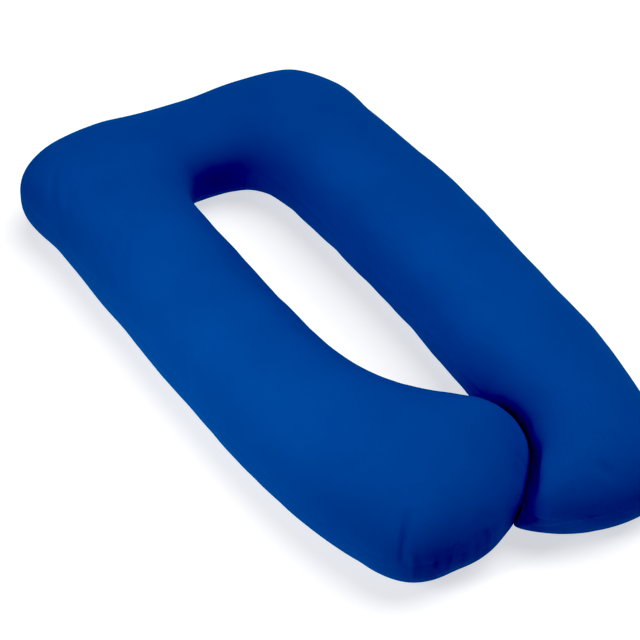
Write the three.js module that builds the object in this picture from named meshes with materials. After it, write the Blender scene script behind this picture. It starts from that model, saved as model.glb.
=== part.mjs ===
// A U-shaped full body pillow, about 1.5 m long and 0.8 m wide, lying flat on the surface it rests on.
// It is one filled cover: two arms side by side, joined by a head bolster that dips in its middle, with
// a long hollow for the body between them. At the foot the near arm curves inwards, and the far arm lies
// round its end, so that the hollow closes to a narrow gap.
// The cover is two panels sewn together along the outer and the inner edge, so each cross-section is
// widest at that seam, is drawn in a little on it, swells above and below it, and is pressed flat
// underneath. Millimetres; +X points from the near arm to the far arm, +Y to the head end, +Z up.
import * as THREE from "three";

const THICKNESS = 185; // the full height of a well filled arm
const SEAM_SHARE = 0.48; // how far up the height the sewn edge lies
const FLOOR_PRESS = 13; // how much of the underside the weight flattens
const FLOOR_ROUND = 9; // the soft bend between the flat underside and the sides
const CROWN_POWER = 0.9; // under 1, the upper half is a little fuller than an ellipse
const BASE_POWER = 0.8; // the lower half is fuller still, under the weight of the filling
const SEAM_DEPTH = 3; // the sewn edge is drawn in this much
const SEAM_REACH = 12; // above and below the seam, where the cover has swelled out again

const CAP_LENGTH = 150; // each arm rounds off to its tip over this length
const CAP_SQUARENESS = 2.4; // over 2, the rounded end is squarer than an ellipse
const CAP_SLOPE_LENGTH = 160; // the height falls away over this length
const ELLIPSE = 2; // the squareness of an ellipse
const CAP_STATIONS = 8; // extra sections in each rounded end
const STATION_STEP = 30; // between sections along the arms
const TIP_STEP = 2; // how far from a tip its direction is measured
const EDGE_STEP = 1; // how far either way an edge's direction is measured

// The ribs run from the tip of the near arm, round the head, to the tip of the far arm. Each has the point
// of the outer edge, the point of the inner edge, and the height as a share of THICKNESS.
const RIBS = [
  { outer: [-94, -812], inner: [122, -584], height: 1.0 },
  { outer: [-190, -784], inner: [90, -516], height: 1.04 },
  { outer: [-282, -748], inner: [32, -459], height: 1.06 },
  { outer: [-331, -640], inner: [-26, -400], height: 1.05 },
  { outer: [-359, -510], inner: [-66, -332], height: 1.02 },
  { outer: [-373, -370], inner: [-90, -255], height: 1.0 },
  { outer: [-380, -220], inner: [-102, -160], height: 1.0 },
  { outer: [-383, -60], inner: [-105, -50], height: 1.0 },
  { outer: [-383, 100], inner: [-105, 90], height: 1.0 },
  { outer: [-384, 260], inner: [-104, 220], height: 1.0 },
  { outer: [-383, 425], inner: [-100, 320], height: 0.99 },
  { outer: [-388, 574], inner: [-88, 382], height: 0.97 },
  { outer: [-316, 664], inner: [-64, 418], height: 0.95 },
  { outer: [-190, 700], inner: [-35, 434], height: 0.92 },
  { outer: [-60, 702], inner: [-10, 440], height: 0.86 },
  { outer: [70, 700], inner: [15, 440], height: 0.86 },
  { outer: [200, 692], inner: [40, 434], height: 0.93 },
  { outer: [324, 655], inner: [66, 418], height: 1.0 },
  { outer: [383, 560], inner: [90, 385], height: 1.0 },
  { outer: [390, 430], inner: [102, 330], height: 1.0 },
  { outer: [396, 290], inner: [106, 250], height: 1.0 },
  { outer: [400, 150], inner: [108, 140], height: 1.0 },
  { outer: [395, 0], inner: [108, 0], height: 1.0 },
  { outer: [382, -150], inner: [106, -140], height: 1.0 },
  { outer: [372, -290], inner: [100, -256], height: 1.0 },
  { outer: [361, -430], inner: [92, -366], height: 1.01 },
  { outer: [337, -560], inner: [92, -476], height: 1.03 },
  { outer: [308, -680], inner: [87, -590], height: 1.04 },
  { outer: [288, -775], inner: [11, -706], height: 1.03 },
  { outer: [240, -858], inner: [-103, -764], height: 0.99 },
];
const STEPS_PER_RIB = 24; // for measuring the length along the middle

// Angles from a sewn edge up to the crown, in radians: closer together at the edge, where it is drawn in.
const QUARTER_ANGLES = [0, 0.05, 0.13, 0.28, 0.5, 0.76, 1.03, 1.3];

// A number raised to a power, with its sign kept.
function signedPower(value, exponent) {
  return Math.sign(value) * Math.abs(value) ** exponent;
}

// One value of the ribs at a place between them, on a smooth curve through their values.
function ribValue(place, pick) {
  const last = RIBS.length - 1;
  const row = Math.min(Math.floor(place), last - 1);
  const values = [row - 1, row, row + 1, row + 2].map((i) => pick(RIBS[Math.max(0, Math.min(last, i))]));
  const [before, from, to, after] = values;
  const t = place - row;
  const slopeFrom = (to - before) / 2;
  const slopeTo = (after - from) / 2;
  const rise = t * t * (3 - 2 * t);
  return from * (1 - rise) + to * rise + slopeFrom * t * (1 - t) ** 2 - slopeTo * t * t * (1 - t);
}

// The middle of the pillow, half the way across it, and its height, at a place along the ribs.
function ribAt(place) {
  const pointOf = (edge) => {
    const x = ribValue(place, (rib) => rib[edge][0]);
    const y = ribValue(place, (rib) => rib[edge][1]);
    return new THREE.Vector2(x, y);
  };
  const outer = pointOf("outer");
  const inner = pointOf("inner");
  return {
    middle: outer.clone().add(inner).multiplyScalar(0.5),
    half: outer.clone().sub(inner).multiplyScalar(0.5),
    height: THICKNESS * ribValue(place, (rib) => rib.height),
  };
}

// Marks along the middle of the pillow, each with its place and its distance from the near tip.
function measureMiddle() {
  const marks = [{ place: 0, distance: 0 }];
  let previous = ribAt(0).middle;
  for (let i = 1; i <= (RIBS.length - 1) * STEPS_PER_RIB; i += 1) {
    const place = i / STEPS_PER_RIB;
    const { middle } = ribAt(place);
    marks.push({ place, distance: marks.at(-1).distance + middle.distanceTo(previous) });
    previous = middle;
  }
  return marks;
}

const MARKS = measureMiddle();
const LENGTH = MARKS.at(-1).distance;

// The rib at a distance from the near tip, measured along the middle.
function ribAtDistance(distance) {
  const next = Math.max(1, MARKS.findIndex((mark) => mark.distance >= distance));
  const from = MARKS[next - 1];
  const to = MARKS[next];
  const share = (distance - from.distance) / (to.distance - from.distance);
  return ribAt(from.place + share * (to.place - from.place));
}

// How full a rounded end is at a distance from its tip: 0 at the tip, 1 where the cap ends.
function capFullness(toTip, length, squareness) {
  const toEnd = Math.max(0, 1 - toTip / length);
  return (1 - toEnd ** squareness) ** (1 / squareness);
}

// How far the width reaches, and the height, at a distance from the near tip.
function capAt(distance) {
  const toTip = Math.min(distance, LENGTH - distance);
  return {
    wide: capFullness(toTip, CAP_LENGTH, CAP_SQUARENESS),
    high: capFullness(toTip, CAP_SLOPE_LENGTH, ELLIPSE),
  };
}

// Rounds the bottom of a section off into the flat patch that rests on the surface.
function settle(z) {
  if (z >= FLOOR_ROUND) {
    return z;
  }
  const above = Math.max(0, z + FLOOR_ROUND);
  return above ** 2 / (4 * FLOOR_ROUND);
}

// How much the cover is drawn in at a height above or below the seam.
function seamPull(fromSeam) {
  const share = Math.min(1, Math.abs(fromSeam) / SEAM_REACH);
  return SEAM_DEPTH * (1 - share) ** 2;
}

// The points of the outer (side 1) or the inner (side -1) edge, rounded off towards the tips.
function edgePoint(distance, side) {
  const { middle, half } = ribAtDistance(distance);
  return middle.addScaledVector(half, side * capAt(distance).wide);
}

// The direction in which an edge faces, square to a short piece of it.
function edgeFacing(distance, side) {
  const ahead = edgePoint(distance + EDGE_STEP, side);
  const along = ahead.sub(edgePoint(distance - EDGE_STEP, side)).normalize();
  return new THREE.Vector2(-along.y, along.x).multiplyScalar(side);
}

// Angles round a section, from the outer edge over the crown to the inner edge and back underneath.
function sectionAngles() {
  const rise = [...QUARTER_ANGLES, Math.PI / 2];
  const fall = QUARTER_ANGLES.map((angle) => Math.PI - angle).reverse();
  const top = [...rise, ...fall];
  const under = top.slice(1, -1).map((angle) => Math.PI + angle);
  return [...top, ...under];
}

// The points round one section.
function sectionPoints(distance, angles) {
  const { middle, half, height } = ribAtDistance(distance);
  const { wide, high } = capAt(distance);
  const facings = { outer: edgeFacing(distance, 1), inner: edgeFacing(distance, -1) };
  const seamHeight = SEAM_SHARE * height;
  return angles.map((angle) => {
    const isCrown = Math.sin(angle) >= 0;
    const fullness = isCrown ? CROWN_POWER : BASE_POWER;
    const swell = isCrown ? height - seamHeight : seamHeight + FLOOR_PRESS;
    const across = signedPower(Math.cos(angle), fullness) * wide;
    const fromSeam = signedPower(Math.sin(angle), fullness) * swell * high;
    const facing = across >= 0 ? facings.outer : facings.inner;
    const pull = seamPull(fromSeam);
    const x = middle.x + half.x * across - facing.x * pull;
    const y = middle.y + half.y * across - facing.y * pull;
    return new THREE.Vector3(x, y, settle(seamHeight + fromSeam));
  });
}

// The point at a tip, drawn in along the arm as the seam is.
function tipPoint(distance) {
  const { middle, height } = ribAtDistance(distance);
  const further = distance === 0 ? TIP_STEP : LENGTH - TIP_STEP;
  const inwards = ribAtDistance(further).middle.sub(middle).normalize();
  middle.addScaledVector(inwards, SEAM_DEPTH);
  return new THREE.Vector3(middle.x, middle.y, SEAM_SHARE * height);
}

// Distances along the middle at which sections stand, closer together in the rounded ends.
function stationDistances() {
  const bodyLength = LENGTH - 2 * CAP_LENGTH;
  const steps = Math.round(bodyLength / STATION_STEP);
  const body = Array.from({ length: steps + 1 }, (_, i) => CAP_LENGTH + (bodyLength * i) / steps);
  const cap = Array.from({ length: CAP_STATIONS }, (_, i) => {
    const turn = ((i + 1) / (CAP_STATIONS + 1)) * (Math.PI / 2);
    return CAP_LENGTH * (1 - Math.cos(turn));
  });
  const farCap = cap.map((distance) => LENGTH - distance).reverse();
  return [...cap, ...body, ...farCap];
}

// The faces between the sections, which follow one another along the points, and the fans at the tips.
function surfaceFaces(sectionCount, round) {
  const nearTip = sectionCount * round;
  const farTip = nearTip + 1;
  const lastSection = (sectionCount - 1) * round;
  const faces = [];
  for (let a = 0; a < round; a += 1) {
    const beside = (a + 1) % round;
    for (let start = 0; start < lastSection; start += round) {
      faces.push(start + a, start + beside, start + round + a);
      faces.push(start + beside, start + round + beside, start + round + a);
    }
    faces.push(nearTip, beside, a);
    faces.push(farTip, lastSection + a, lastSection + beside);
  }
  return faces;
}

// The filled cover as one closed surface, with the middle of its outline over the origin.
function pillowGeometry() {
  const angles = sectionAngles();
  const sections = stationDistances().map((distance) => sectionPoints(distance, angles));
  const points = [...sections.flat(), tipPoint(0), tipPoint(LENGTH)];
  const geometry = new THREE.BufferGeometry().setFromPoints(points);
  geometry.setIndex(surfaceFaces(sections.length, angles.length));
  geometry.computeVertexNormals();
  geometry.computeBoundingBox();
  const middle = geometry.boundingBox.getCenter(new THREE.Vector3());
  geometry.translate(-middle.x, -middle.y, 0);
  return geometry;
}

const cover = new THREE.MeshStandardMaterial({ color: 0x00469a, roughness: 0.85, metalness: 0 });

const pillow = new THREE.Mesh(pillowGeometry(), cover);
pillow.name = "pillow";

const group = new THREE.Group();
group.add(pillow);

export default group;
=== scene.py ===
"""Dresses the solid of a U-shaped full body pillow as a filled jersey cover, in a pale studio.

The sizes of the cover repeat the named sizes of the part's source. Tables and dataclass fields are
in millimetres unless they say metres, and Blender's objects are in metres, in the solid's frame.
"""

import logging
import math
from dataclasses import dataclass, field
from enum import Enum
from typing import NamedTuple

import bpy
import numpy as np
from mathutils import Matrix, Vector, noise
from mathutils.bvhtree import BVHTree


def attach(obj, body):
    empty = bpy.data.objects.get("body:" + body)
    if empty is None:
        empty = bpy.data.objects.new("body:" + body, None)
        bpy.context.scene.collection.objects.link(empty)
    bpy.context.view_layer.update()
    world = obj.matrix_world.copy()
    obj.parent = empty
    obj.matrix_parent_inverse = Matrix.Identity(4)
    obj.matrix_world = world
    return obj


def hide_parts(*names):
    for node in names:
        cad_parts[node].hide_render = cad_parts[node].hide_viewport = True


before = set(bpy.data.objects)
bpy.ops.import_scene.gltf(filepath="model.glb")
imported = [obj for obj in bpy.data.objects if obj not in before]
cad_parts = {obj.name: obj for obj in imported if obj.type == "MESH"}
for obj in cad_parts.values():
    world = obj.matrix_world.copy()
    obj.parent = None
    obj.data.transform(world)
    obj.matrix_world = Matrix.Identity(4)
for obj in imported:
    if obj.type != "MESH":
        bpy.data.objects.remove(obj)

LOG = logging.getLogger("pillow")
METRES = 0.001  # one millimetre
TINY = 1e-9  # a length that counts as none
WAVE_RATE = 20.0  # radians per metre of Blender's wave texture, at a scale of 1
NODE = "pillow"
BODY = "root"

Colour = tuple[float, float, float]
Point = tuple[float, float, float]
WHITE: Colour = (1.0, 1.0, 1.0)


class Rib(NamedTuple):
    """A line across the cover, from its outer to its inner edge, and the share of the height."""

    outer_x: float
    outer_y: float
    inner_x: float
    inner_y: float
    height: float


class Crease(NamedTuple):
    """A soft fold between two points: a valley where deep is over 0, and else a ridge."""

    start: Point
    end: Point
    deep: float
    wide: float


class Arm(Enum):
    """One of the two arms, by which end of the cover's length it has its tip at."""

    NEAR = "near"
    FAR = "far"


class Bulge(NamedTuple):
    """A place of an arm where the filling moves the cover: how far it moves, and how wide."""

    arm: Arm
    centre: Point
    move: Point
    wide: float


class Wave(NamedTuple):
    """One of the waves that puckers are made of: its share, its rate and its shift in radians."""

    share: float
    rate: float
    shift: float


class Grain(NamedTuple):
    """A noise: how fine it is, per metre, and how many finer layers it has."""

    scale: float
    detail: float


class Blend(NamedTuple):
    """A change from one colour to another, with the values at which it starts and ends."""

    low: Colour
    high: Colour
    start: float
    end: float


class Relief(NamedTuple):
    """How strong a relief is, and how deep, in metres."""

    strength: float
    distance: float


def soft_step(values: np.ndarray, low: float, high: float) -> np.ndarray:
    """Rises smoothly from 0 to 1.

    Args:
        values: Where to read the step.
        low: The value up to which the step is 0.
        high: The value from which it is 1.

    Returns:
        The step at each value.
    """
    share = np.clip((values - low) / (high - low), 0.0, 1.0)
    return share * share * (3.0 - 2.0 * share)


def signed_power(values: np.ndarray, exponent: float) -> np.ndarray:
    """Raises the size of each value to a power and keeps its sign.

    Args:
        values: The numbers to raise.
        exponent: The power.

    Returns:
        The raised numbers.
    """
    return np.sign(values) * np.abs(values) ** exponent


def band_faces(row_count: int, count: int) -> np.ndarray:
    """Lists the four-sided faces between closed rows of points.

    Args:
        row_count: How many rows there are.
        count: How many points a row has.

    Returns:
        The corners of each face, of shape (faces, 4).
    """
    start = (np.arange(row_count - 1) * count)[:, None]
    here, beside = np.arange(count), (np.arange(count) + 1) % count
    corners = [start + here, start + beside, start + count + beside, start + count + here]
    return np.stack(corners, axis=2).reshape(-1, 4)


@dataclass(frozen=True)
class CoverPattern:
    """The cut and the filling of the cover: its plan, its section and its rounded ends."""

    thickness: float = 185.0
    seam_share: float = 0.48
    floor_press: float = 13.0
    floor_round: float = 9.0
    crown_power: float = 0.9
    base_power: float = 0.8
    cap_length: float = 150.0
    cap_squareness: float = 2.4
    cap_slope_length: float = 160.0
    cap_slope_squareness: float = 2.0
    steps_per_rib: int = 24
    ribs: tuple[Rib, ...] = (
        Rib(-94, -812, 122, -584, 1.0),
        Rib(-190, -784, 90, -516, 1.04),
        Rib(-282, -748, 32, -459, 1.06),
        Rib(-331, -640, -26, -400, 1.05),
        Rib(-359, -510, -66, -332, 1.02),
        Rib(-373, -370, -90, -255, 1.0),
        Rib(-380, -220, -102, -160, 1.0),
        Rib(-383, -60, -105, -50, 1.0),
        Rib(-383, 100, -105, 90, 1.0),
        Rib(-384, 260, -104, 220, 1.0),
        Rib(-383, 425, -100, 320, 0.99),
        Rib(-388, 574, -88, 382, 0.97),
        Rib(-316, 664, -64, 418, 0.95),
        Rib(-190, 700, -35, 434, 0.92),
        Rib(-60, 702, -10, 440, 0.86),
        Rib(70, 700, 15, 440, 0.86),
        Rib(200, 692, 40, 434, 0.93),
        Rib(324, 655, 66, 418, 1.0),
        Rib(383, 560, 90, 385, 1.0),
        Rib(390, 430, 102, 330, 1.0),
        Rib(396, 290, 106, 250, 1.0),
        Rib(400, 150, 108, 140, 1.0),
        Rib(395, 0, 108, 0, 1.0),
        Rib(382, -150, 106, -140, 1.0),
        Rib(372, -290, 100, -256, 1.0),
        Rib(361, -430, 92, -366, 1.01),
        Rib(337, -560, 92, -476, 1.03),
        Rib(308, -680, 87, -590, 1.04),
        Rib(288, -775, 11, -706, 1.03),
        Rib(240, -858, -103, -764, 0.99),
    )

    def rib_values(self, places: np.ndarray) -> np.ndarray:
        """Reads the ribs on a smooth curve through their values.

        Args:
            places: Places along the ribs, in ribs, of shape (n,).

        Returns:
            The five values of a rib at each place, of shape (n, 5).
        """
        table = np.array(self.ribs)
        last = len(table) - 1
        row = np.minimum(places.astype(int), last - 1)
        share = (places - row)[:, None]
        before, start, end, after = (table[np.clip(row + k, 0, last)] for k in (-1, 0, 1, 2))
        rise = soft_step(share, 0.0, 1.0)
        leaving = (end - before) / 2.0 * share * (1.0 - share) ** 2
        arriving = (after - start) / 2.0 * share * share * (1.0 - share)
        return start * (1.0 - rise) + end * rise + leaving - arriving

    def marks(self) -> tuple[np.ndarray, np.ndarray]:
        """Measures along the middle of the cover.

        Returns:
            Places along the ribs, and the distance of each from the near arm's tip.
        """
        places = np.arange((len(self.ribs) - 1) * self.steps_per_rib + 1) / self.steps_per_rib
        values = self.rib_values(places)
        middle = (values[:, 0:2] + values[:, 2:4]) / 2.0
        steps = np.linalg.norm(np.diff(middle, axis=0), axis=1)
        return places, np.concatenate([[0.0], np.cumsum(steps)])

    def length(self) -> float:
        """The length of the cover along its middle, from tip to tip."""
        return float(self.marks()[1][-1])

    def sections(self, distances: np.ndarray, angles: np.ndarray) -> np.ndarray:
        """Builds the sections of the cover, before any seam or fold.

        Args:
            distances: Distances along the middle, of shape (rows,).
            angles: Angles round a section, from the outer edge over the crown, of shape (n,).

        Returns:
            Points of shape (rows, n, 3).
        """
        places, marked = self.marks()
        values = self.rib_values(np.interp(distances, marked, places))
        outer, inner = values[:, 0:2], values[:, 2:4]
        height = self.thickness * values[:, 4]
        middle, half = (outer + inner) / 2.0, (outer - inner) / 2.0
        to_tip = np.minimum(distances, marked[-1] - distances)
        wide = self.cap_fullness(to_tip, self.cap_length, self.cap_squareness)
        high = self.cap_fullness(to_tip, self.cap_slope_length, self.cap_slope_squareness)
        seam = self.seam_share * height
        crown = np.sin(angles) >= 0.0
        power = np.where(crown, self.crown_power, self.base_power)
        swell = np.where(crown, (height - seam)[:, None], (seam + self.floor_press)[:, None])
        across = signed_power(np.cos(angles), power) * wide[:, None]
        up = signed_power(np.sin(angles), power) * swell * high[:, None]
        plan = middle[:, None, :] + half[:, None, :] * across[:, :, None]
        return np.concatenate([plan, self.settle(seam[:, None] + up)[:, :, None]], axis=2)

    def seam_heights(self, distances: np.ndarray) -> np.ndarray:
        """The height of the sewn edge at each distance.

        Args:
            distances: Distances along the middle, of shape (rows,).

        Returns:
            Heights of shape (rows,).
        """
        places, marked = self.marks()
        shares = self.rib_values(np.interp(distances, marked, places))[:, 4]
        return self.seam_share * self.thickness * shares

    @staticmethod
    def cap_fullness(to_tip: np.ndarray, length: float, squareness: float) -> np.ndarray:
        """How full a rounded end is.

        Args:
            to_tip: Distances from the tip.
            length: How long the rounded end is.
            squareness: 2 for an ellipse, and more for a squarer end.

        Returns:
            0 at the tip, and 1 where the rounded end is over.
        """
        to_end = np.clip(1.0 - to_tip / length, 0.0, 1.0)
        return (1.0 - to_end**squareness) ** (1.0 / squareness)

    def settle(self, heights: np.ndarray) -> np.ndarray:
        """Presses the underside flat on the surface, with a soft bend up to the sides.

        Args:
            heights: Heights, below 0 where the surface presses.

        Returns:
            Heights, none below 0.
        """
        lifted = np.maximum(0.0, heights + self.floor_round) ** 2 / (4.0 * self.floor_round)
        return np.where(heights >= self.floor_round, heights, lifted)


@dataclass
class CoverGrid:
    """The cover as rows of points across it. The first and the last row are a tip each."""

    pattern: CoverPattern
    cap_rows: int = 22
    foot_reach: float = 270.0
    foot_step: float = 4.4
    row_step: float = 7.2
    round_count: int = 72
    girth_steps: int = 240
    seam_crowding: float = 0.68
    seam_crowd_rows: float = 2.2
    rows: np.ndarray = field(init=False)
    distances: np.ndarray = field(init=False)
    from_seam: np.ndarray = field(init=False)

    def __post_init__(self) -> None:
        """Lays out the fine grid, which has twice the rows and points of the coarse one."""
        self.distances = self.row_distances()
        self.rows = self.lay_out()
        seam = self.pattern.seam_heights(self.distances)
        self.from_seam = self.rows[:, :, 2] - seam[:, None]
        flat = self.rows.reshape(-1, 3)
        centre = (flat.min(axis=0) + flat.max(axis=0)) / 2.0
        self.rows[:, :, 0:2] -= centre[0:2]

    def row_distances(self) -> np.ndarray:
        """The distances of the rows, closer together in the rounded ends and in the near foot end.

        Returns:
            Distances of shape (rows,), an odd number of them.
        """
        length, cap = self.pattern.length(), self.pattern.cap_length
        turns = np.arange(2 * self.cap_rows) / (2 * self.cap_rows) * (math.pi / 2.0)
        near = cap * (1.0 - np.cos(turns))
        foot_end = cap + self.foot_reach
        foot_count = 2 * round(self.foot_reach / (2.0 * self.foot_step))
        foot = np.linspace(cap, foot_end, foot_count, endpoint=False)
        count = 2 * round((length - cap - foot_end) / (2.0 * self.row_step))
        body = np.linspace(foot_end, length - cap, count + 1)
        return np.concatenate([near, foot, body, (length - near)[::-1]])

    def round_shares(self) -> np.ndarray:
        """Where the points lie between the two edges, closer together at the seam.

        Returns:
            Shares of the way from one edge to the other, of shape (round_count + 1,).
        """
        steps = np.arange(self.round_count) + 0.5
        near_edge = np.minimum(steps, self.round_count - steps) / 2.0
        gaps = 1.0 - self.seam_crowding * np.exp(-((near_edge / self.seam_crowd_rows) ** 2))
        shares = np.concatenate([[0.0], np.cumsum(gaps)])
        return shares / shares[-1]

    def lay_out(self) -> np.ndarray:
        """Spaces the points of each section evenly along its girth, but closer at the seam.

        Returns:
            Points of shape (rows, 2 * round_count, 3).
        """
        shares = self.round_shares()[:-1]
        halves = []
        for start in (0.0, math.pi):
            angles = start + np.arange(self.girth_steps + 1) / self.girth_steps * math.pi
            points = self.pattern.sections(self.distances, angles)
            girth = np.linalg.norm(np.diff(points, axis=1), axis=2)
            along = np.concatenate([np.zeros((len(points), 1)), np.cumsum(girth, axis=1)], axis=1)
            picked = np.empty((len(points), self.round_count, 3))
            for row in range(len(points)):
                wanted = shares * along[row, -1]
                for axis in range(3):
                    picked[row, :, axis] = np.interp(wanted, along[row], points[row, :, axis])
            halves.append(picked)
        return np.concatenate(halves, axis=1)

    def arm_rows(self, arm: Arm, reach: float) -> np.ndarray:
        """Picks the rows near the tip of an arm.

        Args:
            arm: Whose tip.
            reach: How far from the tip the rows may lie.

        Returns:
            Which rows, as truths of shape (rows,).
        """
        to_tip = self.distances if arm is Arm.NEAR else self.distances[-1] - self.distances
        return to_tip <= reach

    def end_share(self, reach: float) -> np.ndarray:
        """How near each row is to a tip.

        Args:
            reach: The distance from a tip at which the share has fallen to 0.

        Returns:
            1 at a tip and 0 beyond reach, of shape (rows, 1).
        """
        to_tip = np.minimum(self.distances, self.distances[-1] - self.distances)
        return 1.0 - soft_step(to_tip, 0.0, reach)[:, None]

    @staticmethod
    def soften_along(values: np.ndarray, rounds: int) -> np.ndarray:
        """Averages values over their neighbours along the cover.

        Args:
            values: Values of shape (rows, points, n).
            rounds: How many times to average.

        Returns:
            The softened values.
        """
        soft = values.copy()
        for _ in range(rounds):
            padded = np.concatenate([soft[:1], soft, soft[-1:]], axis=0)
            soft = (padded[:-2] + 2.0 * soft + padded[2:]) / 4.0
        return soft

    @staticmethod
    def soften_round(values: np.ndarray, rounds: int) -> np.ndarray:
        """Averages values over their neighbours round the cover.

        Args:
            values: Values of shape (rows, points, n).
            rounds: How many times to average.

        Returns:
            The softened values.
        """
        soft = values.copy()
        for _ in range(rounds):
            soft = (np.roll(soft, 1, axis=1) + 2.0 * soft + np.roll(soft, -1, axis=1)) / 4.0
        return soft

    @staticmethod
    def half_way(
        behind: np.ndarray, here: np.ndarray, ahead: np.ndarray, further: np.ndarray
    ) -> np.ndarray:
        """Reads a smooth curve half way between here and ahead."""
        return (9.0 * (here + ahead) - behind - further) / 16.0

    @staticmethod
    def refine(values: np.ndarray) -> np.ndarray:
        """Reads coarse values on the fine grid, on smooth curves between them.

        Args:
            values: Values of shape (rows, points, n) on the coarse grid.

        Returns:
            Values of shape (2 * rows - 1, 2 * points, n).
        """
        padded = np.concatenate([values[:1], values, values[-1:]], axis=0)
        between = CoverGrid.half_way(padded[:-3], padded[1:-2], padded[2:-1], padded[3:])
        tall = np.empty((2 * len(values) - 1, *values.shape[1:]))
        tall[0::2], tall[1::2] = values, between
        ahead, further, behind = (np.roll(tall, k, axis=1) for k in (-1, -2, 1))
        between = CoverGrid.half_way(behind, tall, ahead, further)
        full = np.empty((len(tall), 2 * values.shape[1], values.shape[2]))
        full[:, 0::2], full[:, 1::2] = tall, between
        return full

    @staticmethod
    def normals(rows: np.ndarray) -> np.ndarray:
        """Finds which way the cover faces at each point.

        Args:
            rows: Points of shape (rows, points, 3).

        Returns:
            Unit vectors of the same shape, pointing out of the cover.
        """
        along = np.gradient(rows, axis=0)
        beside = np.roll(rows, -1, axis=1) - np.roll(rows, 1, axis=1)
        facing = np.cross(beside, along)
        facing /= np.linalg.norm(facing, axis=2, keepdims=True) + TINY
        for tip, inside in ((0, 1), (-1, -2)):
            mean = facing[inside].mean(axis=0)
            facing[tip] = mean / (np.linalg.norm(mean) + TINY)
        return facing

    @staticmethod
    def make_mesh(name: str, rows: np.ndarray) -> bpy.types.Mesh:
        """Builds a closed mesh of four-sided faces, with a fan of triangles at each tip.

        Args:
            name: The mesh's name.
            rows: Points of shape (rows, points, 3), in millimetres.

        Returns:
            The mesh, in metres.
        """
        inside, count = rows[1:-1], rows.shape[1]
        points = np.concatenate([inside.reshape(-1, 3), rows[:1, 0], rows[-1:, 0]]) * METRES
        near, far, last = len(points) - 2, len(points) - 1, (len(inside) - 1) * count
        sides = [(place, (place + 1) % count) for place in range(count)]
        fans = [(near, beside, here) for here, beside in sides]
        fans += [(far, last + here, last + beside) for here, beside in sides]
        mesh = bpy.data.meshes.new(name)
        mesh.from_pydata(points.tolist(), [], band_faces(len(inside), count).tolist() + fans)
        mesh.update()
        return mesh

    @staticmethod
    def read_mesh(mesh: bpy.types.Mesh, shape: tuple[int, ...]) -> np.ndarray:
        """Reads a mesh of make_mesh back as rows.

        Args:
            mesh: The mesh, in metres.
            shape: The shape of the rows it was made from.

        Returns:
            Points of that shape, in millimetres.
        """
        flat = np.empty(len(mesh.vertices) * 3)
        mesh.vertices.foreach_get("co", flat)
        points = flat.reshape(-1, 3) / METRES
        rows = np.empty(shape)
        rows[1:-1] = points[:-2].reshape(shape[0] - 2, shape[1], 3)
        rows[0], rows[-1] = points[-2], points[-1]
        return rows


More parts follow.
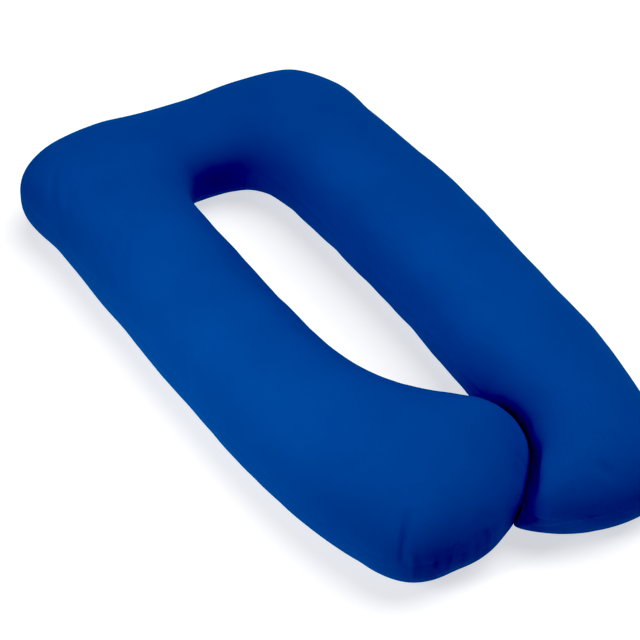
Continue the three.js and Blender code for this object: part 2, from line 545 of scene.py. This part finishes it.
@dataclass(frozen=True)
class Filling:
    """Blows the cover up from inside by cloth simulation, so that it gathers along its seam."""

    pressure: float = 4.0
    frames: int = 20
    quality: int = 5
    stiffness: float = 15.0
    bending: float = 0.4
    weight: float = 0.05
    seam_gather: float = 0.07
    panel_ease: float = -0.035
    gather_reach: float = 14.0
    least_weight: float = 0.01
    straight_share: float = 0.35
    end_reach: float = 420.0
    rest_height: float = 4.0
    wide_rounds: int = 120
    outer_gain: float = 0.04
    inner_gain: float = 0.22
    end_gain: float = 0.3
    fold_rounds: int = 2
    fold_limit: float = 8.0
    swell_share: float = 0.05
    swell_limit: float = 3.0

    def billow(self, grid: CoverGrid, rows: np.ndarray) -> np.ndarray:
        """Simulates the filled cover and keeps its gathers and a little of its swelling.

        Args:
            grid: The cover's grid.
            rows: Points of the fine grid.

        Returns:
            How far each point of the fine grid moves, in millimetres.
        """
        coarse = rows[::2, ::2]
        cover = self.cover_object(grid, coarse)
        self.simulate(cover)
        shape = CoverGrid.read_mesh(self.settled(cover), coarse.shape)
        mesh = cover.data
        bpy.data.objects.remove(cover)
        bpy.data.meshes.remove(mesh)
        moved = shape - coarse
        swelling = CoverGrid.soften_along(moved, self.wide_rounds)
        folds = CoverGrid.soften_along(moved - swelling, self.fold_rounds)
        folds = self.limited(folds * self.gains(grid, coarse), self.fold_limit)
        swelling = self.limited(swelling * self.swell_share, self.swell_limit)
        LOG.info("filling: folds up to %.1f mm", np.linalg.norm(folds, axis=2).max())
        return CoverGrid.refine(folds + swelling)

    def gains(self, grid: CoverGrid, coarse: np.ndarray) -> np.ndarray:
        """How much of its folds each place keeps: the least on the outer side, which is smooth.

        Args:
            grid: The cover's grid.
            coarse: Points of the coarse grid.

        Returns:
            Shares of shape (rows, points, 1).
        """
        turns = np.arange(coarse.shape[1]) / coarse.shape[1] * 2.0 * math.pi
        inner = (0.5 - 0.5 * np.cos(turns))[None, :]
        sides = self.outer_gain + (self.inner_gain - self.outer_gain) * inner
        ends = grid.end_share(self.end_reach)[::2]
        return (sides + (self.end_gain - sides) * ends)[:, :, None]

    def cover_object(self, grid: CoverGrid, coarse: np.ndarray) -> bpy.types.Object:
        """Makes the coarse cover, with what rests on the surface held and the seam marked.

        Args:
            grid: The cover's grid.
            coarse: Points of the coarse grid.

        Returns:
            The object to simulate.
        """
        cover = bpy.data.objects.new("cover_cloth", CoverGrid.make_mesh("cover_cloth", coarse))
        bpy.context.scene.collection.objects.link(cover)
        held = (coarse[:, :, 2] < self.rest_height).astype(float)
        near_seam = np.exp(-((grid.from_seam[::2, ::2] / self.gather_reach) ** 2))
        ends = grid.end_share(self.end_reach)[::2]
        local = self.straight_share + (1.0 - self.straight_share) * ends
        for name, weights in (("held", held), ("gather", near_seam * local)):
            group = cover.vertex_groups.new(name=name)
            flat = np.concatenate([weights[1:-1].ravel(), weights[:1, 0], weights[-1:, 0]])
            for index in np.flatnonzero(flat > self.least_weight):
                group.add([int(index)], float(flat[index]), "REPLACE")
        return cover

    def simulate(self, cover: bpy.types.Object) -> None:
        """Adds the cloth settings to the cover and steps through the frames.

        Args:
            cover: The object to simulate.
        """
        cloth = cover.modifiers.new("filling", "CLOTH")
        settings = cloth.settings
        settings.quality = self.quality
        settings.mass = self.weight
        settings.tension_stiffness = self.stiffness
        settings.compression_stiffness = self.stiffness
        settings.bending_stiffness = self.bending
        settings.use_pressure = True
        settings.uniform_pressure_force = self.pressure
        settings.effector_weights.gravity = 0.0
        settings.vertex_group_mass = "held"
        settings.vertex_group_shrink = "gather"
        settings.shrink_min = self.panel_ease
        settings.shrink_max = self.seam_gather
        cloth.collision_settings.use_collision = False
        cloth.point_cache.frame_start = 1
        cloth.point_cache.frame_end = self.frames
        for number in range(1, self.frames + 1):
            bpy.context.scene.frame_set(number)

    @staticmethod
    def settled(cover: bpy.types.Object) -> bpy.types.Mesh:
        """Applies the simulation, so that no cloth is left on the object.

        Args:
            cover: The simulated object.

        Returns:
            Its mesh as it is on the last frame.
        """
        graph = bpy.context.evaluated_depsgraph_get()
        mesh = bpy.data.meshes.new_from_object(cover.evaluated_get(graph))
        cover.modifiers.clear()
        flat = cover.data
        cover.data = mesh
        bpy.data.meshes.remove(flat)
        bpy.context.scene.frame_set(1)
        return mesh

    @staticmethod
    def limited(moves: np.ndarray, limit: float) -> np.ndarray:
        """Caps how far a point may move, softly.

        Args:
            moves: Moves of shape (rows, points, 3).
            limit: The most that a move may measure.

        Returns:
            The capped moves.
        """
        size = np.linalg.norm(moves, axis=2, keepdims=True)
        capped = limit * np.tanh(size / limit) / (size + TINY)
        return moves * np.where(size > TINY, capped, 1.0)


@dataclass(frozen=True)
class PressedEnds:
    """Presses the ends of the two arms against each other, so that no light comes between them."""

    reach: float = 620.0
    closed_under: float = 9.0
    open_over: float = 30.0
    left_open: float = 0.35
    soften_rounds: int = 6

    def press(self, arms: dict[Arm, np.ndarray], rows: np.ndarray) -> np.ndarray:
        """Moves the facing sides of the two arms together where they lie close.

        Args:
            arms: Which rows belong to each arm.
            rows: Points of the fine grid.

        Returns:
            How far each point moves.
        """
        moves = np.zeros_like(rows)
        picked = {arm: np.flatnonzero(truths) for arm, truths in arms.items()}
        for arm, other in ((Arm.NEAR, Arm.FAR), (Arm.FAR, Arm.NEAR)):
            surface = self.surface_of(rows[picked[other]])
            for row in picked[arm]:
                for place in range(rows.shape[1]):
                    point = Vector(rows[row, place])
                    found = surface.find_nearest(point, self.open_over)[0]
                    if found is not None:
                        moves[row, place] = self.move_towards(point, found)
        moves = CoverGrid.soften_along(moves, self.soften_rounds)
        return CoverGrid.soften_round(moves, self.soften_rounds)

    @staticmethod
    def surface_of(rows: np.ndarray) -> BVHTree:
        """Makes a searchable surface of some rows of an arm.

        Args:
            rows: Points of shape (rows, points, 3).

        Returns:
            The surface.
        """
        faces = band_faces(len(rows), rows.shape[1])
        return BVHTree.FromPolygons(rows.reshape(-1, 3).tolist(), faces.tolist())

    def move_towards(self, point: Vector, other: Vector) -> Vector:
        """Half the way to a point of the other arm, if it is near, less what is left open.

        Args:
            point: A point of one arm.
            other: The nearest point of the other arm.

        Returns:
            The move.
        """
        way = other - point
        gap = way.length
        share = 1.0 - float(soft_step(np.array(gap), self.closed_under, self.open_over))
        travel = max(0.0, gap / 2.0 - self.left_open) * share
        return way * (travel / gap) if gap > 0.0 else Vector()


@dataclass(frozen=True)
class Folds:
    """Soft folds where the cover is pulled, and the uneven lie of the loose filling inside."""

    taper: float = 2.0
    taper_share: float = 0.7
    skin_reach: float = 35.0
    skin_power: int = 4
    pinch_rounds: int = 4
    lump_depth: float = 2.0
    lump_length: float = 120.0
    small_lump_share: float = 0.4
    small_lump_rate: float = 2.3
    creases: tuple[Crease, ...] = (
        Crease((-384, 425, 108), (-292, 540, 180), 3.0, 16),
        Crease((-380, 488, 122), (-326, 590, 166), 4.0, 12),
        Crease((-368, 474, 142), (-340, 530, 162), -3.4, 8),
        Crease((-382, 246, 116), (-306, 332, 178), 3.0, 18),
        Crease((-376, 184, 132), (-296, 306, 181), 3.6, 15),
        Crease((-386, -106, 104), (-352, -44, 158), 3.0, 12),
        Crease((-286, -690, 100), (-247, -646, 168), 7.0, 7),
        Crease((-268, -700, 58), (-264, -691, 128), -4.2, 5.5),
        Crease((-232, -708, 52), (-226, -703, 112), 3.4, 6),
        Crease((-211, -712, 50), (-194, -706, 128), -4.2, 5.5),
        Crease((-181, -714, 52), (-176, -709, 104), 3.0, 6),
        Crease((-152, -711, 54), (-150, -706, 110), 3.0, 7),
        Crease((-121, -709, 54), (-119, -702, 124), -4.2, 5.5),
        Crease((98, -700, 174), (118, -738, 146), 3.0, 15),
    )
    pinches: tuple[Crease, ...] = (
        Crease((64, -584, 124), (-8, -690, 106), 16.0, 20),
        Crease((8, -672, 122), (-20, -700, 46), 12.0, 19),
        Crease((54, -632, 148), (-8, -714, 92), -3.0, 9),
    )
    bulges: tuple[Bulge, ...] = (
        Bulge(Arm.FAR, (-30, -686, 40), (-26, 14, 0), 44),
        Bulge(Arm.FAR, (4, -728, 50), (0, 13, 0), 56),
        Bulge(Arm.NEAR, (-52, -694, 80), (-9, 4, 0), 36),
    )

    def crease_moves(
        self, creases: tuple[Crease, ...], rows: np.ndarray, normals: np.ndarray
    ) -> np.ndarray:
        """Draws creases into the cover.

        Args:
            creases: The creases.
            rows: Points of the fine grid.
            normals: Which way the cover faces there.

        Returns:
            How far each point moves.
        """
        inwards = np.zeros(rows.shape[:2])
        for crease in creases:
            start, line = np.array(crease.start), np.subtract(crease.end, crease.start)
            share = np.clip(((rows - start) @ line) / (line @ line), 0.0, 1.0)
            offset = rows - start - share[:, :, None] * line
            above = np.sum(offset * normals, axis=2)
            across = np.linalg.norm(offset - above[:, :, None] * normals, axis=2) / crease.wide
            tapered = 1.0 - np.abs(2.0 * share - 1.0) ** self.taper * self.taper_share
            tapered *= np.exp(-((above / self.skin_reach) ** self.skin_power))
            inwards += crease.deep * tapered * (1.0 - across**2) * np.exp(-(across**2))
        return -normals * inwards[:, :, None]

    def pinch_moves(self, rows: np.ndarray, far_arm: np.ndarray) -> np.ndarray:
        """Draws the far arm's end in beside the near arm's, where it is pinched.

        Args:
            rows: Points of the fine grid.
            far_arm: Which rows belong to the far arm.

        Returns:
            How far each point moves.
        """
        moves = self.crease_moves(self.pinches, rows, CoverGrid.normals(rows))
        moves = CoverGrid.soften_along(moves * far_arm[:, None, None], self.pinch_rounds)
        return CoverGrid.soften_round(moves, self.pinch_rounds)

    def bulge_moves(self, rows: np.ndarray, arms: dict[Arm, np.ndarray]) -> np.ndarray:
        """Moves the cover at the bulges.

        Args:
            rows: Points of the fine grid.
            arms: Which rows belong to each arm.

        Returns:
            How far each point moves.
        """
        moves = np.zeros_like(rows)
        for bulge in self.bulges:
            away = np.linalg.norm(rows - np.array(bulge.centre), axis=2) / bulge.wide
            share = np.exp(-(away**2)) * arms[bulge.arm][:, None]
            moves += share[:, :, None] * np.array(bulge.move)
        return moves

    def lump_moves(self, rows: np.ndarray, normals: np.ndarray) -> np.ndarray:
        """Lets the loose filling press the cover out unevenly.

        Args:
            rows: Points of the coarse grid.
            normals: Which way the cover faces there.

        Returns:
            How far each point moves.
        """
        swell = np.empty(rows.shape[:2])
        for index in np.ndindex(swell.shape):
            spot = Vector(rows[index]) / self.lump_length
            small = noise.noise(spot * self.small_lump_rate)
            swell[index] = noise.noise(spot) + self.small_lump_share * small
        return normals * (swell * self.lump_depth)[:, :, None]


@dataclass(frozen=True)
class SideSeam:
    """The sewn edge between the two panels: drawn in, with a fine join and small puckers."""

    depth: float = 0.25
    reach: float = 12.0
    join_depth: float = 0.8
    join_reach: float = 2.2
    join_fade: float = 0.7
    pucker_depth: float = 0.15
    pucker_reach: float = 26.0
    pucker_length: float = 34.0
    pucker_share: float = 0.5
    pucker_end_share: float = 0.9
    pucker_waves: tuple[Wave, ...] = (
        Wave(1.0, 1.0, 0.0),
        Wave(0.6, 1.63, 1.1),
        Wave(0.4, 0.37, 2.3),
    )
    end_reach: float = 420.0

    def moves(self, grid: CoverGrid, normals: np.ndarray) -> np.ndarray:
        """Draws the seam in, all the way round.

        Args:
            grid: The cover's grid.
            normals: Which way the cover faces.

        Returns:
            How far each point moves.
        """
        away = np.abs(grid.from_seam)
        near_end = grid.end_share(self.end_reach)
        reaches = away / self.reach
        share = np.clip(1.0 - reaches, 0.0, 1.0)
        join = self.join_depth * (1.0 - self.join_fade * near_end)
        inwards = self.depth * share**2 + join * np.exp(-((away / self.join_reach) ** 2))
        turn = 2.0 * math.pi * grid.distances[:, None] / self.pucker_length
        wave = sum(part.share * np.sin(part.rate * turn + part.shift) for part in self.pucker_waves)
        beside = np.exp(-((away / self.pucker_reach) ** 2)) * reaches / (1.0 + reaches)
        local = self.pucker_share + self.pucker_end_share * near_end
        inwards = inwards + self.pucker_depth * wave * beside * local
        return -normals * inwards[:, :, None]


class NodeBench:
    """Places and links the nodes of one material."""

    def __init__(self, name: str) -> None:
        """Starts a material with a Principled shader.

        Args:
            name: The material's name.
        """
        self.material = bpy.data.materials.new(name)
        self.material.use_nodes = True
        self.tree = self.material.node_tree
        self.shader = self.tree.nodes["Principled BSDF"]

    def add(self, kind: str, **settings: object) -> bpy.types.Node:
        """Adds a node.

        Args:
            kind: The node's type.
            **settings: Its properties.

        Returns:
            The node.
        """
        node = self.tree.nodes.new(kind)
        for name, value in settings.items():
            setattr(node, name, value)
        return node

    def link(self, source: bpy.types.NodeSocket, target: bpy.types.NodeSocket) -> None:
        """Links two sockets."""
        self.tree.links.new(source, target)

    def noise(self, coordinates: bpy.types.NodeSocket, grain: Grain) -> bpy.types.NodeSocket:
        """Adds a noise texture.

        Args:
            coordinates: Where it is read.
            grain: How fine it is.

        Returns:
            The value's socket.
        """
        node = self.add("ShaderNodeTexNoise")
        node.inputs["Scale"].default_value = grain.scale
        node.inputs["Detail"].default_value = grain.detail
        self.link(coordinates, node.inputs["Vector"])
        return node.outputs["Fac"]

    def ramp(self, source: bpy.types.NodeSocket, blend: Blend) -> bpy.types.NodeSocket:
        """Turns a value into a colour between two others.

        Args:
            source: The value.
            blend: The two colours, and where each begins.

        Returns:
            The colour's socket.
        """
        node = self.add("ShaderNodeValToRGB")
        steps = ((blend.start, blend.low), (blend.end, blend.high))
        for element, (position, colour) in zip(node.color_ramp.elements, steps):
            element.position = position
            element.color = (*colour, 1.0)
        self.link(source, node.inputs["Fac"])
        return node.outputs["Color"]

    def multiply(
        self, first: bpy.types.NodeSocket, second: bpy.types.NodeSocket, share: float
    ) -> bpy.types.NodeSocket:
        """Multiplies a colour by another.

        Args:
            first: The colour to tint.
            second: The tint.
            share: How much of the tint to use.

        Returns:
            The product's socket.
        """
        node = self.add("ShaderNodeMix", data_type="RGBA", blend_type="MULTIPLY")
        node.inputs["Factor"].default_value = share
        self.link(first, node.inputs[6])
        self.link(second, node.inputs[7])
        return node.outputs[2]

    def bump(
        self, height: bpy.types.NodeSocket, relief: Relief, below: bpy.types.NodeSocket | None
    ) -> bpy.types.NodeSocket:
        """Turns a height into relief.

        Args:
            height: The height.
            relief: How strong and how deep it is.
            below: The normal of the relief that this one lies on.

        Returns:
            The normal's socket.
        """
        node = self.add("ShaderNodeBump")
        node.inputs["Strength"].default_value = relief.strength
        node.inputs["Distance"].default_value = relief.distance
        self.link(height, node.inputs["Height"])
        if below is not None:
            self.link(below, node.inputs["Normal"])
        return node.outputs["Normal"]


@dataclass(frozen=True)
class JerseyFinish:
    """A close cotton jersey in royal blue: matte, with a soft nap and a fine knit."""

    tone: Blend = Blend((0.0, 0.075, 0.262), (0.0, 0.081, 0.284), 0.32, 0.66)
    tone_grain: Grain = Grain(5.0, 2.0)
    heather: Blend = Blend((0.86, 0.88, 0.92), WHITE, 0.38, 0.62)
    heather_grain: Grain = Grain(900.0, 1.0)
    heather_share: float = 0.7
    ripple_grain: Grain = Grain(26.0, 3.0)
    ripple_relief: Relief = Relief(0.22, 0.004)
    knit_relief: Relief = Relief(0.35, 0.0004)
    stitch_pitch: float = 1.5
    stitch_bend: float = 0.6
    stitch_bend_scale: float = 2.0
    roughness: float = 0.82
    gloss: float = 0.05
    gloss_tint: Colour = (0.05, 0.4, 1.0)
    sheen: float = 0.02
    sheen_roughness: float = 0.45
    sheen_tint: Colour = (0.02, 0.35, 1.0)

    def build(self) -> bpy.types.Material:
        """Builds the material.

        Returns:
            The jersey.
        """
        bench = NodeBench("royal_blue_jersey")
        place = bench.add("ShaderNodeTexCoord").outputs["Object"]
        colour = bench.ramp(bench.noise(place, self.tone_grain), self.tone)
        tint = bench.ramp(bench.noise(place, self.heather_grain), self.heather)
        colour = bench.multiply(colour, tint, self.heather_share)
        shader = bench.shader
        bench.link(colour, shader.inputs["Base Color"])
        shader.inputs["Roughness"].default_value = self.roughness
        shader.inputs["Specular IOR Level"].default_value = self.gloss
        shader.inputs["Specular Tint"].default_value = (*self.gloss_tint, 1.0)
        shader.inputs["Sheen Weight"].default_value = self.sheen
        shader.inputs["Sheen Roughness"].default_value = self.sheen_roughness
        shader.inputs["Sheen Tint"].default_value = (*self.sheen_tint, 1.0)
        relief = bench.bump(bench.noise(place, self.ripple_grain), self.ripple_relief, None)
        relief = bench.bump(self.knit(bench, place), self.knit_relief, relief)
        bench.link(relief, shader.inputs["Normal"])
        return bench.material

    def knit(self, bench: NodeBench, place: bpy.types.NodeSocket) -> bpy.types.NodeSocket:
        """Crosses fine ribs in three directions, so that each side of the cover shows two.

        Args:
            bench: The material's nodes.
            place: Where the knit is read.

        Returns:
            The height's socket.
        """
        scale = 2.0 * math.pi / (WAVE_RATE * self.stitch_pitch * METRES)
        height = None
        for direction in ("X", "Y", "Z"):
            ribs = bench.add(
                "ShaderNodeTexWave",
                wave_type="BANDS",
                bands_direction=direction,
                wave_profile="SIN",
            )
            ribs.inputs["Scale"].default_value = scale
            ribs.inputs["Distortion"].default_value = self.stitch_bend
            ribs.inputs["Detail Scale"].default_value = self.stitch_bend_scale
            bench.link(place, ribs.inputs["Vector"])
            if height is None:
                height = ribs.outputs["Fac"]
                continue
            both = bench.add("ShaderNodeMath", operation="ADD")
            bench.link(height, both.inputs[0])
            bench.link(ribs.outputs["Fac"], both.inputs[1])
            height = both.outputs[0]
        return height


@dataclass(frozen=True)
class FloorFinish:
    """A plain white studio table that glows a little, so that shadows on it stay pale."""

    colour: Colour = (0.44, 0.44, 0.44)
    glow: float = 0.64
    roughness: float = 0.9

    def build(self) -> bpy.types.Material:
        """Builds the material.

        Returns:
            The floor's material.
        """
        bench = NodeBench("pale_floor")
        bench.shader.inputs["Base Color"].default_value = (*self.colour, 1.0)
        bench.shader.inputs["Roughness"].default_value = self.roughness
        bench.shader.inputs["Specular IOR Level"].default_value = 0.0
        bench.shader.inputs["Emission Color"].default_value = (*WHITE, 1.0)
        bench.shader.inputs["Emission Strength"].default_value = self.glow
        return bench.material


@dataclass
class PillowCover:
    """The filled cover, which is the whole pillow."""

    name: str = "pillow_cover"
    pattern: CoverPattern = field(default_factory=CoverPattern)
    filling: Filling = field(default_factory=Filling)
    ends: PressedEnds = field(default_factory=PressedEnds)
    folds: Folds = field(default_factory=Folds)
    seam: SideSeam = field(default_factory=SideSeam)
    finish: JerseyFinish = field(default_factory=JerseyFinish)
    slot: str = "cover"
    fill: float = 0.85
    rest_height: float = 14.0

    def shape(self) -> np.ndarray:
        """Shapes the cover: the filling, the folds, the seam and the pressed ends.

        Returns:
            Points of the fine grid.
        """
        grid = CoverGrid(self.pattern)
        rows = grid.rows.copy()
        free = soft_step(rows[:, :, 2:3], 0.0, self.rest_height)
        rows += self.filling.billow(grid, rows) * free
        coarse = rows[::2, ::2]
        lumps = self.folds.lump_moves(coarse, CoverGrid.normals(coarse))
        rows += CoverGrid.refine(lumps) * free
        normals = CoverGrid.normals(rows)
        rows += self.folds.crease_moves(self.folds.creases, rows, normals) * free
        rows += self.seam.moves(grid, normals) * free
        arms = {arm: grid.arm_rows(arm, self.ends.reach) for arm in Arm}
        rows += self.folds.bulge_moves(rows, arms) * free
        rows += self.ends.press(arms, rows) * free
        rows += self.folds.pinch_moves(rows, arms[Arm.FAR]) * free
        rows[:, :, 2] = np.maximum(rows[:, :, 2], 0.0)
        return rows

    def build(self) -> bpy.types.Object:
        """Builds and dresses the cover.

        Returns:
            The cover's object.
        """
        mesh = CoverGrid.make_mesh(self.name, self.shape())
        mesh.materials.append(self.finish.build())
        mesh.shade_smooth()
        cover = bpy.data.objects.new(self.name, mesh)
        bpy.context.scene.collection.objects.link(cover)
        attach(cover, BODY)
        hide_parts(NODE)
        return cover


@dataclass(frozen=True)
class Studio:
    """The pale floor, the soft light and the camera, in metres."""

    floor_half: float = 120.0
    key_place: Point = (-2.4, -0.1, 1.3)
    key_aim: Point = (-0.25, -0.1, 0.1)
    key_size: float = 1.5
    key_spread: float = 42.0
    key_power: float = 6.1
    top_place: Point = (0.42, 0.05, 0.91)
    top_aim: Point = (0.0, 0.0, 0.0)
    top_spread: float = 60.0
    top_strength: float = 3.2
    sky_strength: float = 0.03
    black_point: float = 0.045
    view_azimuth: float = -30.5
    view_elevation: float = 38.6
    view_distance: float = 4.392
    view_target: Point = (-0.00445, 0.061, 0.0)
    focal_pixels: float = 2190.0
    frame_pixels: float = 640.0
    sensor: float = 36.0
    finish: FloorFinish = field(default_factory=FloorFinish)

    def build(self) -> None:
        """Builds the floor, the lights and the camera, and sets the picture's tones."""
        self.floor()
        self.key_light()
        self.top_light()
        self.sky()
        self.camera()
        self.tones()

    def floor(self) -> bpy.types.Object:
        """Lays the floor at the height that the pillow rests on.

        Returns:
            The floor.
        """
        half = self.floor_half
        mesh = bpy.data.meshes.new("floor")
        corners = [(-half, -half, 0.0), (half, -half, 0.0), (half, half, 0.0), (-half, half, 0.0)]
        mesh.from_pydata(corners, [], [(0, 1, 2, 3)])
        mesh.materials.append(self.finish.build())
        floor = bpy.data.objects.new("floor", mesh)
        bpy.context.scene.collection.objects.link(floor)
        return floor

    def key_light(self) -> bpy.types.Object:
        """Sets a soft box up on the near arm's side, so that the arms' ends are in shade.

        Returns:
            The light.
        """
        data = bpy.data.lights.new("key_light", "AREA")
        data.size = self.key_size
        data.spread = math.radians(self.key_spread)
        data.energy = self.key_power
        return self.hang(data, self.key_place, self.key_aim)

    def top_light(self) -> bpy.types.Object:
        """Sets a wide soft light up above the far arm, which falls evenly on everything.

        Returns:
            The light.
        """
        data = bpy.data.lights.new("top_light", "SUN")
        data.angle = math.radians(self.top_spread)
        data.energy = self.top_strength
        return self.hang(data, self.top_place, self.top_aim)

    @staticmethod
    def hang(data: bpy.types.Light, place: Point, aim: Point) -> bpy.types.Object:
        """Hangs a light up.

        Args:
            data: The light.
            place: Where it hangs.
            aim: The point that it is turned to.

        Returns:
            The light's object.
        """
        lamp = bpy.data.objects.new(data.name, data)
        lamp.location = place
        lamp.rotation_euler = (Vector(aim) - Vector(place)).to_track_quat("-Z", "Y").to_euler()
        bpy.context.scene.collection.objects.link(lamp)
        return lamp

    def sky(self) -> None:
        """Fills the room with a little even white light."""
        world = bpy.data.worlds.new("studio")
        world.use_nodes = True
        background = world.node_tree.nodes["Background"]
        background.inputs["Color"].default_value = (*WHITE, 1.0)
        background.inputs["Strength"].default_value = self.sky_strength
        bpy.context.scene.world = world

    def tones(self) -> None:
        """Lets the darkest tones sink to black, as a studio picture's tone curve does."""
        view = bpy.context.scene.view_settings
        view.view_transform = "Standard"
        view.use_curve_mapping = True
        view.curve_mapping.black_level = (self.black_point,) * 3
        view.curve_mapping.update()

    def camera(self) -> bpy.types.Object:
        """Sets the camera up at the picture's angle.

        Returns:
            The camera.
        """
        turn, lift = math.radians(self.view_azimuth), math.radians(self.view_elevation)
        back = Vector(
            (math.sin(turn) * math.cos(lift), -math.cos(turn) * math.cos(lift), math.sin(lift))
        )
        data = bpy.data.cameras.new("camera")
        data.sensor_width = self.sensor
        data.lens = self.focal_pixels / self.frame_pixels * self.sensor
        camera = bpy.data.objects.new("camera", data)
        camera.location = Vector(self.view_target) + back * self.view_distance
        camera.rotation_euler = (-back).to_track_quat("-Z", "Y").to_euler()
        bpy.context.scene.collection.objects.link(camera)
        bpy.context.scene.camera = camera
        return camera


def main() -> None:
    """Builds the pillow and its studio."""
    logging.basicConfig(level=logging.INFO, format="%(name)s: %(message)s")
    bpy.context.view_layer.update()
    cover = PillowCover().build()
    LOG.info("%s: %d faces", cover.name, len(cover.data.polygons))
    Studio().build()
    LOG.info("studio: floor, two lights and camera")


if __name__ == "__main__":
    main()
